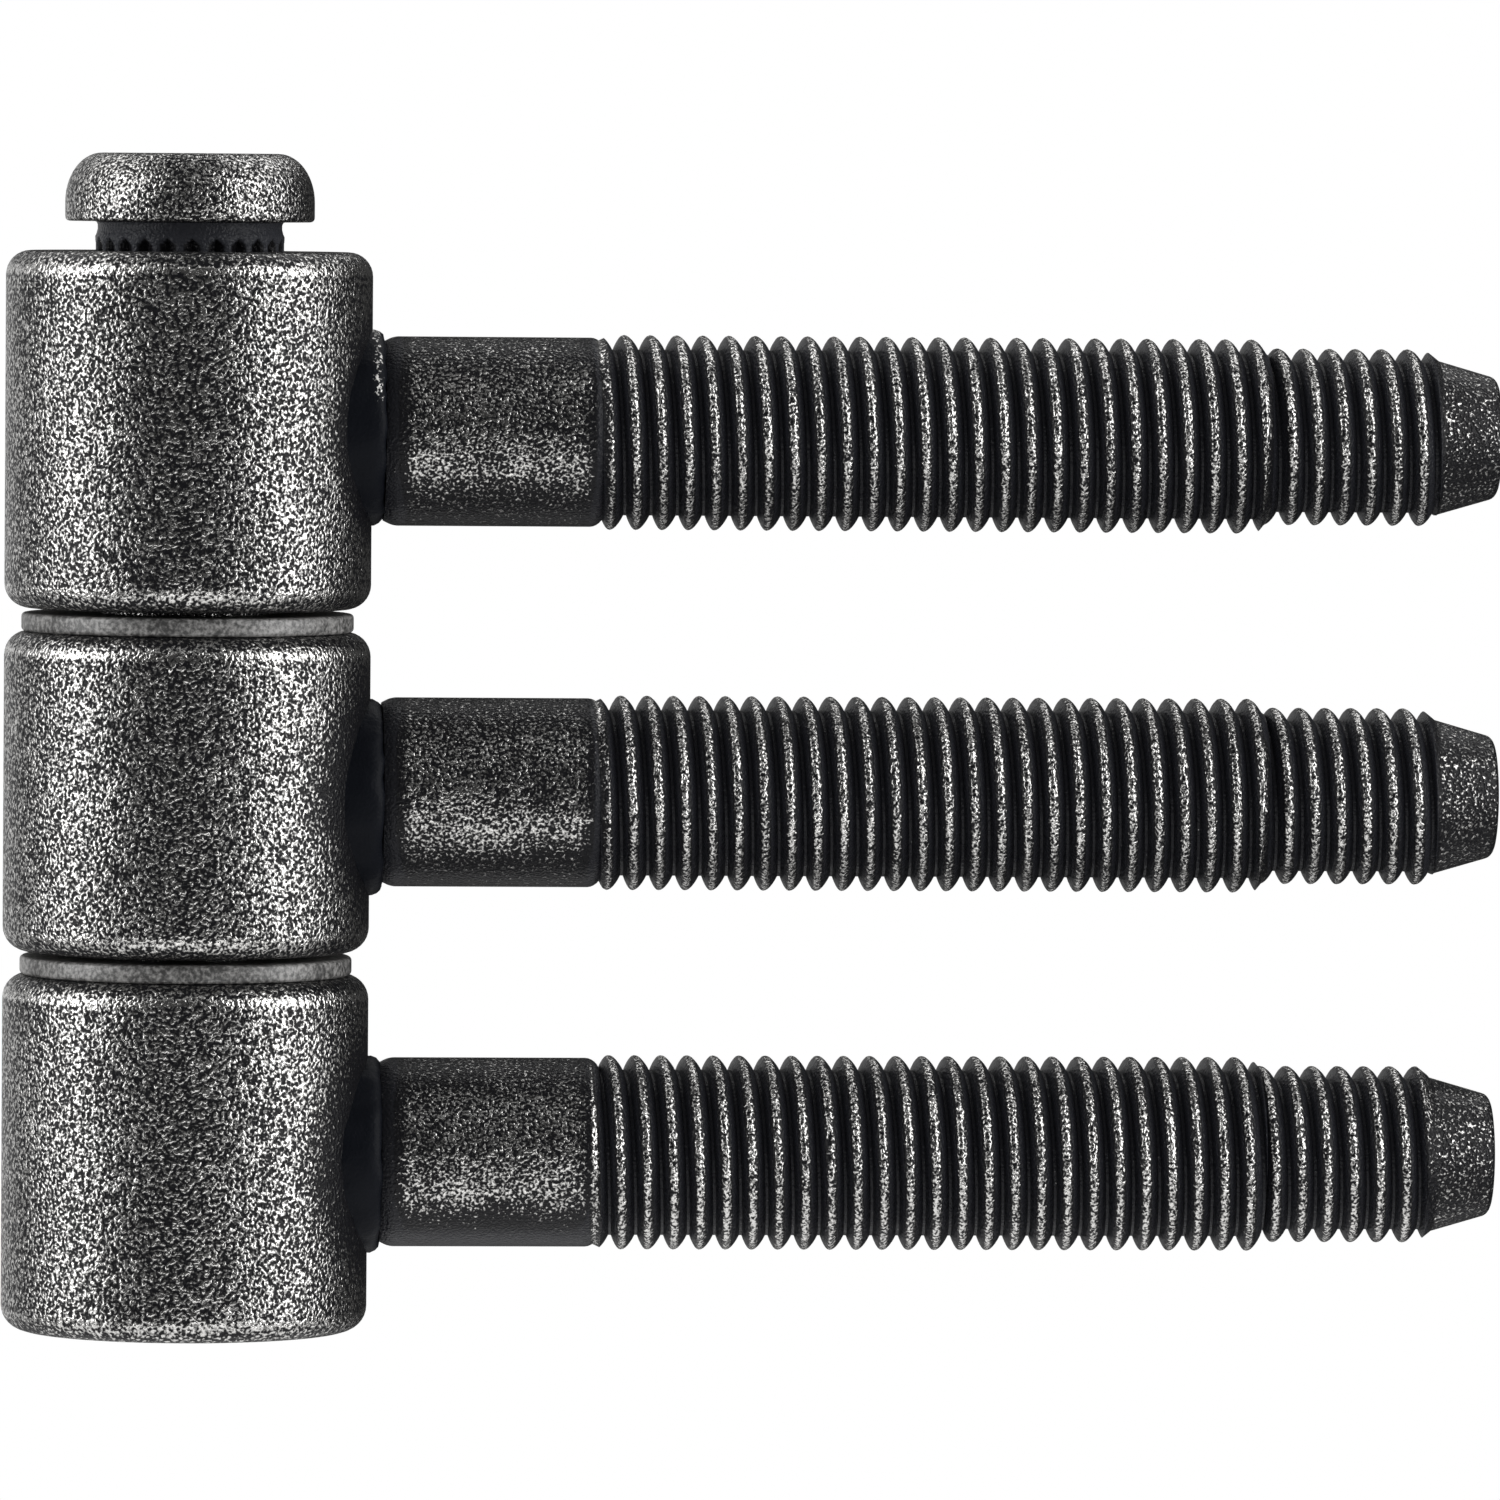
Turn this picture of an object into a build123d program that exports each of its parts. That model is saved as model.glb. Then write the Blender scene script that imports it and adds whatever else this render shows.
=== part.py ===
from build123d import *
import os
from math import cos, radians, sin, tan

# A three-part drill-in barrel hinge, in millimetres. Three barrels turn on one loose pin,
# with a bearing washer in each joint, and a threaded stud is welded to the side of each
# barrel. Z runs up the pin, the studs point along X, and the origin is on the pin's axis,
# in the lower end face of the bottom barrel.

# Barrels
barrel_radius = 7.5
outer_barrel_height = 14.6
middle_barrel_height = 13.1
barrel_rim_radius = 1.0
barrel_rim_flats = 3
bore_radius = 3.55

# Washers, each lying on the barrel below it
washer_radius = 6.8
washer_thickness = 0.75
washer_play = 0.2

# Pin: a shaft, a fluted neck that centres in the top barrel, and a mushroom head. It stands
# proud by pin_lift, and it can drop by that much until its head meets the top barrel.
pin_radius = 3.5
pin_lift = 1.2
pin_end_height = 1.9
neck_radius = 3.77
neck_clearance = 0.05
head_radius = 5.1
head_height = 2.8
head_flat_radius = 3.6
head_shoulder_height = 2.05
head_shoulder_flats = 3
head_underside_chamfer = 0.18

# Flutes: straight V grooves round the neck, which run out in a point below the head
flute_crest_radius = 3.87
flute_depth = 0.3
flute_length = 4.2
flute_run_out = 0.35
flute_head_gap = 0.62
flute_count = 24
flute_angle = 100

# Studs, measured outwards from the pin's axis
stud_inner_reach = 7.97
shank_radius = 3.88
shank_groove_radius = 3.56
shank_shoulder_reach = 8.5
shank_reach = 16.8
first_root_radius = 3.45
first_root_reach = 17.2
first_crest_reach = 17.6
main_thread_radius = 4.0
main_thread_reach = 44.2
lead_thread_radius = 3.64
lead_thread_reach = 51.3
cone_radius = 3.21
cone_tip_radius = 2.4
stud_reach = 53.85

# Welds: a pad of metal fills the gap between a barrel's side and the end of its stud, and
# stands a little proud all round, not quite on the stud's axis.
weld_radius = 4.07
weld_chamfer = 0.32
weld_rises = {"bottom": -0.08, "middle": -0.22, "top": 0.17}

# Heights up the stack, worked out from the pieces
lower_washer_height = outer_barrel_height
middle_barrel_base = lower_washer_height + washer_thickness + washer_play
upper_washer_height = middle_barrel_base + middle_barrel_height
top_barrel_base = upper_washer_height + washer_thickness + washer_play
stack_height = top_barrel_base + outer_barrel_height
head_base = stack_height + pin_lift
head_top = head_base + head_height
flute_top = head_base - flute_head_gap
flute_base = flute_top - flute_length

barrel_bases = {"bottom": 0.0, "middle": middle_barrel_base, "top": top_barrel_base}
barrel_tops = {
    "bottom": outer_barrel_height,
    "middle": middle_barrel_base + middle_barrel_height,
    "top": stack_height,
}
stud_heights = {
    leaf: (barrel_bases[leaf] + barrel_tops[leaf]) / 2 for leaf in barrel_bases
}

os.makedirs("parts", exist_ok=True)


def rounded_rim(radius, end_height, width, depth, flats):
    """Points along a turned rim, from its side to its end face: a quarter of an ellipse in
    equal turns. Its depth is negative on a lower end face."""
    turns = [radians(90 * i / flats) for i in range(flats + 1)]
    return [
        (radius - width * (1 - cos(turn)), end_height - depth * (1 - sin(turn)))
        for turn in turns
    ]


def barrel_rim(end_height, depth):
    """Points along a rim of a barrel."""
    return rounded_rim(barrel_radius, end_height, barrel_rim_radius, depth, barrel_rim_flats)


def flute_section(depth):
    """Points of a V whose point lies at a depth below the flutes' crests, and whose mouth is
    clear outside them."""
    half_mouth = (depth + flute_depth) * tan(radians(flute_angle / 2))
    mouth_radius = flute_crest_radius + flute_depth
    return [
        (flute_crest_radius - depth, 0),
        (mouth_radius, -half_mouth),
        (mouth_radius, half_mouth),
    ]


# Barrels: turned, with rounded rims and a bore right through. The top one is counterbored
# for the pin's fluted neck.
for leaf in barrel_bases:
    with BuildPart() as barrel:
        with BuildSketch(Plane.XZ):
            with BuildLine():
                Polyline(
                    (0, barrel_bases[leaf]),
                    *reversed(barrel_rim(barrel_bases[leaf], -barrel_rim_radius)),
                    *barrel_rim(barrel_tops[leaf], barrel_rim_radius),
                    (0, barrel_tops[leaf]),
                    close=True,
                )
            make_face()
        revolve(axis=Axis.Z)
        with Locations((0, 0, barrel_tops[leaf])):
            if leaf == "top":
                CounterBoreHole(
                    radius=bore_radius,
                    counter_bore_radius=flute_crest_radius + neck_clearance,
                    counter_bore_depth=pin_lift + flute_length,
                )
            else:
                Hole(radius=bore_radius)
    barrel.part.label = f"{leaf}_barrel"
    export_step(barrel.part, f"parts/{leaf}_barrel.step")

# Washers: flat rings that turn on the pin between two barrels
for place, base in {"lower": lower_washer_height, "upper": upper_washer_height}.items():
    with BuildPart() as washer:
        with BuildSketch(Plane.XY.offset(base)):
            Circle(washer_radius)
            Circle(bore_radius, mode=Mode.SUBTRACT)
        extrude(amount=washer_thickness)
    washer.part.label = f"{place}_washer"
    export_step(washer.part, f"parts/{place}_washer.step")

# Studs: turned from one bar, with a shoulder at the weld, a plain shank, the thread's first
# root as a groove, the outline of the main thread, a thinner lead thread and a blunt cone
for leaf, height in stud_heights.items():
    side = Plane(origin=(0, 0, height), x_dir=(1, 0, 0), z_dir=(0, -1, 0))
    with BuildPart() as stud:
        with BuildSketch(side):
            with BuildLine():
                Polyline(
                    (stud_inner_reach, 0),
                    (stud_inner_reach, shank_groove_radius),
                    (shank_shoulder_reach, shank_radius),
                    (shank_reach, shank_radius),
                    (first_root_reach, first_root_radius),
                    (first_crest_reach, main_thread_radius),
                    (main_thread_reach, main_thread_radius),
                    (main_thread_reach, lead_thread_radius),
                    (lead_thread_reach, lead_thread_radius),
                    (lead_thread_reach, cone_radius),
                    (stud_reach, cone_tip_radius),
                    (stud_reach, 0),
                    close=True,
                )
            make_face()
        revolve(axis=Axis(side.origin, (1, 0, 0)))
    stud.part.label = f"{leaf}_stud"
    export_step(stud.part, f"parts/{leaf}_stud.step")

# Welds: round pads, cut to the barrel's side on one face and flat against the stud
for leaf, rise in weld_rises.items():
    centre = stud_heights[leaf] + rise
    with BuildPart() as weld:
        with BuildSketch(Plane(origin=(0, 0, centre), x_dir=(0, 1, 0), z_dir=(1, 0, 0))):
            Circle(weld_radius)
        extrude(amount=stud_inner_reach)
        chamfer(weld.faces().sort_by(Axis.X)[-1].outer_wire().edges(), weld_chamfer)
        with BuildSketch(Plane.XY.offset(centre - barrel_radius)):
            Circle(barrel_radius)
        extrude(amount=2 * barrel_radius, mode=Mode.SUBTRACT)
    weld.part.label = f"{leaf}_weld"
    export_step(weld.part, f"parts/{leaf}_weld.step")

# Flute: one V groove, straight up the neck and then rising to a point at its crest
with BuildPart() as flute:
    with BuildSketch(Plane.XY.offset(flute_base)):
        Polygon(*flute_section(flute_depth), align=None)
    extrude(amount=flute_length - flute_run_out)
    with BuildSketch(Plane.XY.offset(flute_top - flute_run_out)):
        Polygon(*flute_section(flute_depth), align=None)
    with BuildSketch(Plane.XY.offset(flute_top)):
        Polygon(*flute_section(0), align=None)
    loft(ruled=True)

# Pin: turned with a domed shoulder on its head, then fluted all round its neck
with BuildPart() as pin:
    with BuildSketch(Plane.XZ):
        with BuildLine():
            Polyline(
                (0, pin_end_height),
                (pin_radius, pin_end_height),
                (pin_radius, flute_base),
                (flute_crest_radius, flute_base),
                (flute_crest_radius, flute_top),
                (neck_radius, flute_top),
                (neck_radius, head_base),
                (head_radius, head_base),
                *rounded_rim(
                    head_radius,
                    head_top,
                    head_radius - head_flat_radius,
                    head_shoulder_height,
                    head_shoulder_flats,
                ),
                (0, head_top),
                close=True,
            )
        make_face()
    revolve(axis=Axis.Z)
    underside_edges = (
        pin.edges().filter_by(GeomType.CIRCLE).filter_by_position(Axis.Z, head_base, head_base)
    )
    chamfer(underside_edges.sort_by(SortBy.RADIUS)[-1], head_underside_chamfer)
    with PolarLocations(0, flute_count):
        add(flute.part, mode=Mode.SUBTRACT)
pin.part.label = "hinge_pin"
export_step(pin.part, "parts/hinge_pin.step")
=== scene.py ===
from math import atan2, cos, hypot, pi, radians, sin

import bpy
from mathutils import Matrix, Vector


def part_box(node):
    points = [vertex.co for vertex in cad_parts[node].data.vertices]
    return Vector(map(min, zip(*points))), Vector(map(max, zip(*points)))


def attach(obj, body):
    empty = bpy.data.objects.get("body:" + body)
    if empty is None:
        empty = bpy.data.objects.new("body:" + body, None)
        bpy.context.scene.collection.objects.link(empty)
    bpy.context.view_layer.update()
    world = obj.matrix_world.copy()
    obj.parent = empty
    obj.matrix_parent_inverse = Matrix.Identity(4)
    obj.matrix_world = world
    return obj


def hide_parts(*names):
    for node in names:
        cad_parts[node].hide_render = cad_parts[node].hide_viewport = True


bl_info = {
    "name": "Three-part barrel hinge",
    "version": (1, 0, 0),
    "blender": (4, 5, 0),
    "location": "View3D > Sidebar > Hinge",
    "description": "Models and finishes a drill-in barrel hinge around its packed solids",
    "category": "Add Mesh",
}

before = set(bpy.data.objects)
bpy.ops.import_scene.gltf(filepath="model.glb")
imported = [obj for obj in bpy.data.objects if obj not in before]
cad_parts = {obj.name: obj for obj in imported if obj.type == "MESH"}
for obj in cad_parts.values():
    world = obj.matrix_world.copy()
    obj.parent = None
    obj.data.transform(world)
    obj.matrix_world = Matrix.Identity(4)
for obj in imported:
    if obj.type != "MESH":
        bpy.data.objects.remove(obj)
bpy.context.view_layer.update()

LEAVES = ("top", "middle", "bottom")
Z_AXIS = (0, 0, 1)
X_AXIS = (1, 0, 0)
MM = 0.001
# Vertices closer than MERGE are one, and one that is looked for is found within NEAR
MERGE = 2e-6
NEAR = 10 * MERGE
# Steps round the barrels and washers, and round the studs and beads
WIDE_STEPS = 160
STUD_STEPS = 96
# The attribute that keeps a mesh's wear, and in places its painted highlights and painted shade
WEAR_AND_LIGHT = "wear"


def heights(node):
    """The lower and upper end of a packed solid, in metres."""
    low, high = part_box(node)
    return low.z, high.z


def stud_height(leaf):
    """The height of a stud's axis, in metres."""
    return sum(heights(f"{leaf}_stud")) / 2


BARREL_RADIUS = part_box("top_barrel")[1].x
WASHER_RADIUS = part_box("upper_washer")[1].x
HEAD_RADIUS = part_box("hinge_pin")[1].x
STUD_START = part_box("top_stud")[0].x
STUD_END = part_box("top_stud")[1].x
PIN_BASE, PIN_TOP = heights("hinge_pin")
STACK_TOP = heights("top_barrel")[1]


def length(label, text, millimetres):
    """A length that a user may change, whose default is given in millimetres."""
    return bpy.props.FloatProperty(
        name=label,
        description=text,
        default=millimetres * MM,
        min=0,
        precision=5,
        unit="LENGTH",
        subtype="DISTANCE",
    )


def colour(label, text, shade):
    """A colour that a user may change."""
    return bpy.props.FloatVectorProperty(
        name=label, description=text, default=shade, size=3, min=0, max=1, subtype="COLOR"
    )


class HingeBarrels(bpy.types.PropertyGroup):
    """Sizes of the three barrels"""

    radius: length("Radius", "Radius of a barrel", BARREL_RADIUS / MM)
    rim: length("Rim", "Radius of the rounding at both ends of a barrel", 1.0)
    bore: length("Bore", "Radius of the bore for the pin", 3.55)
    counterbore: length("Counterbore", "Radius of the seat for the pin's fluted neck", 3.92)
    counterbore_depth: length("Counterbore depth", "Depth of the seat for the neck", 5.4)


class HingeWashers(bpy.types.PropertyGroup):
    """Sizes of the bearing washers"""

    radius: length("Radius", "Radius of a washer", WASHER_RADIUS / MM)
    bore: length("Bore", "Radius of a washer's hole", 3.55)
    edge: length("Edge", "Radius of the rounding at a washer's edges", 0.16)


class HingePin(bpy.types.PropertyGroup):
    """Sizes of the headed pin"""

    shaft: length("Shaft", "Radius of the shaft", 3.5)
    end_chamfer: length("End chamfer", "Chamfer at the shaft's lower end", 0.35)
    neck: length("Neck", "Radius of the plain neck under the head", 3.77)
    flute_crest: length("Flute crests", "Radius over the ridges between the flutes", 3.87)
    flute_depth: length("Flute depth", "Depth of a flute below the ridges", 0.3)
    flute_length: length("Flute length", "Length of the fluted part", 4.2)
    flute_run_out: length("Flute run-out", "Length of a flute's pointed upper end", 0.35)
    flute_head_gap: length("Flute gap", "Plain neck between the flutes and the head", 0.62)
    flutes: bpy.props.IntProperty(
        name="Flutes", description="Number of flutes round the neck", default=24, min=3
    )
    head_radius: length("Head", "Radius of the head", HEAD_RADIUS / MM)
    head_height: length("Head height", "Height of the head", 2.79)
    head_flat: length("Head flat", "Radius of the head's flat top", 3.6)
    head_shoulder: length("Head shoulder", "Height of the head's rounded shoulder", 2.0)
    head_edge: length("Head edge", "Radius of the rounding at the head's lower edge", 0.18)


class HingeStuds(bpy.types.PropertyGroup):
    """Sizes of the threaded studs"""

    neck: length("Neck", "Radius of the stud where it meets its weld", 3.68)
    shoulder: length("Shoulder", "Length of the shoulder between weld and shank", 0.4)
    shank: length("Shank", "Radius of the plain shank", 3.88)
    shank_reach: length("Shank reach", "Distance from the pin's axis to the shank's end", 16.85)
    pitch: length("Pitch", "Pitch of the thread", 1.077)
    crest: length("Crest", "Radius over the main thread's crests", 4.0)
    root: length("Root", "Radius in the main thread's roots", 3.4)
    main_reach: length("Main reach", "Distance from the pin's axis to the thread's step", 44.2)
    lead_crest: length("Lead crest", "Radius over the lead thread's crests", 3.64)
    lead_root: length("Lead root", "Radius in the lead thread's roots", 3.1)
    lead_reach: length("Lead reach", "Distance from the pin's axis to the cone", 51.3)
    cone: length("Cone", "Radius of the cone at the lead thread", 3.2)
    tip: length("Tip", "Radius of the cone's blunt end", 2.46)
    tip_rounding: length("Tip rounding", "Radius of the rounding at the blunt end", 0.3)


class HingeWelds(bpy.types.PropertyGroup):
    """Sizes of the weld beads"""

    radius: length("Radius", "Radius of a bead", 4.03)
    lumps: length("Lumps", "Height of the lumps on a bead", 0.13)
    lump_size: length("Lump size", "Distance between the lumps on a bead", 0.9)


class HingeFinish(bpy.types.PropertyGroup):
    """Colours and grain of the finishes"""

    lacquer: colour("Lacquer", "The dark lacquer between the specks", (0.006, 0.006, 0.0075))
    hollows: colour("Hollows", "The whole lacquer on the studs", (0.014, 0.0145, 0.018))
    neck: colour("Neck", "The bare neck of the pin", (0.04, 0.042, 0.05))
    silver: colour("Silver", "The silver specks", (0.82, 0.81, 0.79))
    weld: colour("Weld", "The dark scale on the weld beads", (0.004, 0.005, 0.008))
    washer: colour("Washer", "The grey bearing washers", (0.115, 0.113, 0.11))
    grain: length("Grain", "Distance between the silver specks", 0.145)


class HingeStage(bpy.types.PropertyGroup):
    """The camera, lamps and floor"""

    lens: bpy.props.FloatProperty(
        name="Lens", description="Focal length of the camera, in millimetres", default=300
    )
    camera: bpy.props.FloatVectorProperty(
        name="Camera",
        description="Place of the camera",
        default=(-0.01267, -0.5119, 0.04765),
        size=3,
        unit="LENGTH",
        subtype="TRANSLATION",
    )
    pan: bpy.props.FloatProperty(
        name="Pan",
        description="Turn of the camera to the right of the hinge's depth",
        default=radians(4.0),
        subtype="ANGLE",
        unit="ROTATION",
    )
    tilt: bpy.props.FloatProperty(
        name="Tilt",
        description="Tilt of the camera below the horizon",
        default=radians(2.651),
        subtype="ANGLE",
        unit="ROTATION",
    )
    roll: bpy.props.FloatProperty(
        name="Roll",
        description="Roll of the camera to its left",
        default=radians(0.464),
        subtype="ANGLE",
        unit="ROTATION",
    )
    floor_drop: length("Floor drop", "Distance from the lowest barrel down to the floor", 70)
    floor: colour("Floor", "The pale floor", (0.85, 0.85, 0.85))
    ambient: bpy.props.FloatProperty(
        name="Ambient", description="Strength of the even light of the room", default=0.35
    )


SETTINGS = {
    "hinge_barrels": HingeBarrels,
    "hinge_washers": HingeWashers,
    "hinge_pin": HingePin,
    "hinge_studs": HingeStuds,
    "hinge_welds": HingeWelds,
    "hinge_finish": HingeFinish,
    "hinge_stage": HingeStage,
}


# Modelling by hand


def clear_selection():
    """Leaves edit mode and deselects everything."""
    if bpy.context.object is not None and bpy.context.object.mode != "OBJECT":
        bpy.ops.object.mode_set(mode="OBJECT")
    bpy.ops.object.select_all(action="DESELECT")


def take(piece):
    """Makes a piece the only selected one and the active one."""
    clear_selection()
    piece.select_set(True)
    bpy.context.view_layer.objects.active = piece


def select_all_of(piece):
    """Opens a piece in edit mode with all of it selected."""
    take(piece)
    bpy.ops.object.mode_set(mode="EDIT")
    bpy.ops.mesh.select_mode(type="VERT")
    bpy.ops.mesh.select_all(action="SELECT")


def pick(piece, kind, test):
    """Opens a piece in edit mode and selects its vertices, edges or faces that pass a test."""
    take(piece)
    bpy.ops.object.mode_set(mode="EDIT")
    bpy.ops.mesh.select_mode(type=kind)
    bpy.ops.mesh.select_all(action="DESELECT")
    bpy.ops.object.mode_set(mode="OBJECT")
    mesh = piece.data
    parts = {"VERT": mesh.vertices, "EDGE": mesh.edges, "FACE": mesh.polygons}[kind]
    for part in parts:
        part.select = test(part)
    found = sum(part.select for part in parts)
    bpy.ops.object.mode_set(mode="EDIT")
    return found


def around(axis, point):
    """A point's distance from an axis through the origin and its place along it."""
    if axis == Z_AXIS:
        return hypot(point.x, point.y), point.z
    return hypot(point.y, point.z), point.x


def draw_outline(name, points):
    """Draws a chain of edges: a plane merged to one vertex, extruded from point to point."""
    clear_selection()
    bpy.ops.mesh.primitive_plane_add(size=MM)
    piece = bpy.context.object
    piece.name = piece.data.name = name
    bpy.ops.object.mode_set(mode="EDIT")
    bpy.ops.mesh.select_mode(type="VERT")
    bpy.ops.mesh.select_all(action="SELECT")
    bpy.ops.mesh.merge(type="CENTER")
    bpy.ops.transform.translate(value=points[0])
    for start, end in zip(points, points[1:]):
        bpy.ops.mesh.extrude_region_move(TRANSFORM_OT_translate={"value": end - start})
    return piece


def close_mesh():
    """Merges what lies double in the piece being edited and turns its faces outwards."""
    bpy.ops.mesh.select_all(action="SELECT")
    bpy.ops.mesh.remove_doubles(threshold=MERGE)
    bpy.ops.mesh.normals_make_consistent(inside=False)


def turn(name, axis, outline, steps):
    """Turns an outline of (distance from the axis, place along it) into a closed piece."""
    if axis == Z_AXIS:
        points = [Vector((out, 0, along)) for out, along in outline]
    else:
        points = [Vector((along, 0, out)) for out, along in outline]
    piece = draw_outline(name, points)
    bpy.ops.mesh.select_all(action="SELECT")
    bpy.ops.mesh.spin(steps=steps, angle=2 * pi, center=(0, 0, 0), axis=axis)
    close_mesh()
    return piece


def round_ring(piece, axis, out, along, width, segments):
    """Rounds the ring of edges at a distance from the axis and a place along it."""

    def on_ring(edge):
        for index in edge.vertices:
            distance, place = around(axis, piece.data.vertices[index].co)
            if abs(distance - out) > NEAR or abs(place - along) > NEAR:
                return False
        return True

    if not pick(piece, "EDGE", on_ring):
        raise RuntimeError(f"{piece.name} has no ring of edges at {out:.5f}, {along:.5f}")
    bpy.ops.mesh.bevel(offset=width, segments=segments, affect="EDGES", profile=0.5)


def apply_modifier(piece, kind, **settings):
    """Adds a modifier to a piece, sets it and applies it."""
    take(piece)
    bpy.ops.object.modifier_add(type=kind)
    modifier = piece.modifiers[-1]
    for name, value in settings.items():
        setattr(modifier, name, value)
    bpy.ops.object.modifier_apply(modifier=modifier.name)


def reach_of(piece):
    """The lowest and highest place of a piece's vertices along each axis."""
    points = [vertex.co for vertex in piece.data.vertices]
    return [(min(p[i] for p in points), max(p[i] for p in points)) for i in range(3)]


def combine(piece, other, operation):
    """Joins, cuts or trims a piece with another one, which is used up, and makes sure that
    the result is whole."""
    clear_selection()
    before = [reach_of(piece), reach_of(other)]
    apply_modifier(piece, "BOOLEAN", operation=operation, object=other, solver="EXACT")
    take(other)
    bpy.ops.object.delete()
    select_all_of(piece)
    close_mesh()
    clear_selection()
    if not piece.data.polygons:
        raise RuntimeError(f"{piece.name} came out empty")
    if operation == "UNION":
        for axis, (low, high) in enumerate(reach_of(piece)):
            lowest = min(reach[axis][0] for reach in before)
            highest = max(reach[axis][1] for reach in before)
            if abs(low - lowest) > NEAR or abs(high - highest) > NEAR:
                raise RuntimeError(f"{piece.name} lost a part when it was joined")


def copy_of(piece, name):
    """A copy of a piece with its own mesh."""
    take(piece)
    bpy.ops.object.duplicate(linked=False)
    copied = bpy.context.object
    copied.name = copied.data.name = name
    return copied


def lift(piece, height):
    """Moves a piece's mesh up."""
    select_all_of(piece)
    bpy.ops.transform.translate(value=(0, 0, height))


def mark_wear_and_light(piece, wear_at):
    """Keeps on each vertex how far the silver shows through: about 1 on worn edges, 0 where
    it shows as usual and -2 where the lacquer is whole. In places the values also hold
    painted highlights and painted shade."""
    mesh = piece.data
    wear = mesh.attributes.new(WEAR_AND_LIGHT, "FLOAT", "POINT")
    wear.data.foreach_set("value", [wear_at(vertex.co) for vertex in mesh.vertices])


def finish_piece(piece, body, node, material, smooth_angle=35):
    """Shades a piece, gives it its finish and sets it in the frame in place of its solid."""
    take(piece)
    bpy.ops.object.shade_smooth_by_angle(angle=radians(smooth_angle))
    piece.data.materials.clear()
    piece.data.materials.append(material)
    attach(piece, body)
    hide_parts(node)


def ramp(value, low, high):
    """0 below low, 1 above high and even in between."""
    return min(1, max(0, (value - low) / (high - low)))


# Finishes


def new_material(name):
    """An empty material: its tree, its shader and its surface coordinates."""
    material = bpy.data.materials.new(name)
    material.use_nodes = True
    tree = material.node_tree
    tree.nodes.clear()
    output = tree.nodes.new("ShaderNodeOutputMaterial")
    shader = tree.nodes.new("ShaderNodeBsdfPrincipled")
    place = tree.nodes.new("ShaderNodeTexCoord")
    tree.links.new(shader.outputs["BSDF"], output.inputs["Surface"])
    return material, tree, shader, place.outputs["Object"]


def noise(tree, place, size, detail, rough=0.5, twist=0.0):
    """A noise with one lump in each stretch of the given size."""
    node = tree.nodes.new("ShaderNodeTexNoise")
    node.inputs["Scale"].default_value = 1 / size
    node.inputs["Detail"].default_value = detail
    node.inputs["Roughness"].default_value = rough
    node.inputs["Distortion"].default_value = twist
    tree.links.new(place, node.inputs["Vector"])
    return node.outputs["Fac"]


def maths(tree, operation, first, second):
    """A Math node on two sockets or numbers."""
    node = tree.nodes.new("ShaderNodeMath")
    node.operation = operation
    for socket, value in zip(node.inputs, (first, second)):
        if isinstance(value, (int, float)):
            socket.default_value = value
        else:
            tree.links.new(value, socket)
    return node.outputs["Value"]


def added(tree, first, second):
    """The sum of two sockets."""
    return maths(tree, "ADD", first, second)


def scaled(tree, value, factor):
    """A socket times a number or another socket."""
    return maths(tree, "MULTIPLY", value, factor)


def between(tree, value, low, high, start=0.0, end=1.0, smooth=True):
    """Maps a socket from low..high to start..end."""
    node = tree.nodes.new("ShaderNodeMapRange")
    node.interpolation_type = "SMOOTHSTEP" if smooth else "LINEAR"
    tree.links.new(value, node.inputs["Value"])
    for name, number in (
        ("From Min", low),
        ("From Max", high),
        ("To Min", start),
        ("To Max", end),
    ):
        node.inputs[name].default_value = number
    return node.outputs["Result"]


def blend_colours(tree, share, first, second):
    """A mix of two colours or colour sockets."""
    node = tree.nodes.new("ShaderNodeMix")
    node.data_type = "RGBA"
    tree.links.new(share, node.inputs["Factor"])
    for name, value in (("A", first), ("B", second)):
        socket = next(s for s in node.inputs if s.name == name and s.type == "RGBA")
        if isinstance(value, bpy.types.NodeSocket):
            tree.links.new(value, socket)
        else:
            socket.default_value = (*value, 1)
    return next(s for s in node.outputs if s.type == "RGBA")


def add_bump(tree, shader, height, depth, strength):
    """Raises a shader's surface by a height socket."""
    bump = tree.nodes.new("ShaderNodeBump")
    bump.inputs["Distance"].default_value = depth
    bump.inputs["Strength"].default_value = strength
    tree.links.new(height, bump.inputs["Height"])
    tree.links.new(bump.outputs["Normal"], shader.inputs["Normal"])


def kept_wear_and_light(tree):
    """The wear, with its painted highlights and painted shade, that a mesh keeps on its
    vertices.
    """
    node = tree.nodes.new("ShaderNodeAttribute")
    node.attribute_name = WEAR_AND_LIGHT
    return node.outputs["Fac"]


def speckle_level(tree, specks, wear, wear_gain, patches, tarnish):
    """How near each point is to showing silver: the specks' noise, raised by the wear, which
    also holds painted highlights and painted shade, and moved up and down by large patches."""
    level = added(tree, specks, scaled(tree, wear, wear_gain))
    return added(tree, level, scaled(tree, maths(tree, "SUBTRACT", patches, 0.5), tarnish))


# Levels between which lacquer turns to silver, levels between which it turns to metal, and
# wear between which the lacquer changes from whole to thin
SILVER_LEVELS = (0.44, 0.7)
METAL_LEVELS = (0.42, 0.5)
WHOLE_LACQUER = (-2, -1.4)
LACQUER_ROUGHNESS = 0.36
SILVER_ROUGHNESS = 0.22


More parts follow.
